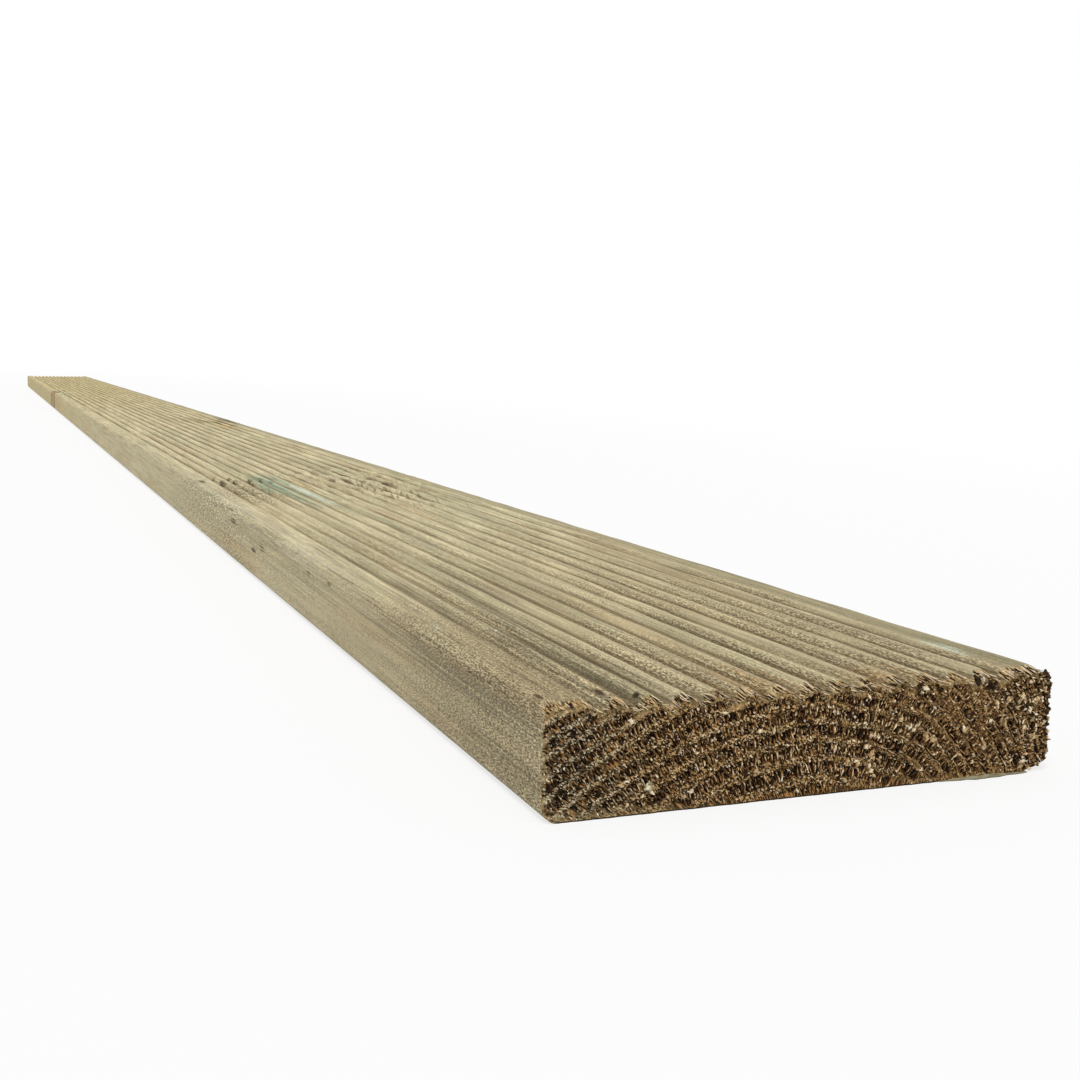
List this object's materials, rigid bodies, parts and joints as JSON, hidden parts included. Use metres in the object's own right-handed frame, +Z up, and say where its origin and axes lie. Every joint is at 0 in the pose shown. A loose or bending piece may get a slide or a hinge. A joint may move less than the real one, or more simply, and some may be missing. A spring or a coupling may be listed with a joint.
{
  "type": "decking board",
  "caption": "Long flat softwood board with a finely reeded upper face, rounded long edges, a flat underside and square sawn ends, laid across joists as outdoor flooring.",
  "frame": {"origin": "middle of the flat underside", "axes": "+X across the board, +Y along its length, +Z up out of the reeded face"},
  "size_m": [0.144, 3.6, 0.028],
  "materials": {
    "treated_softwood": "planed and pressure treated, with rough sawn ends"
  },
  "bodies": {
    "root": {"deck_board": "treated_softwood"}
  },
  "joints": []
}
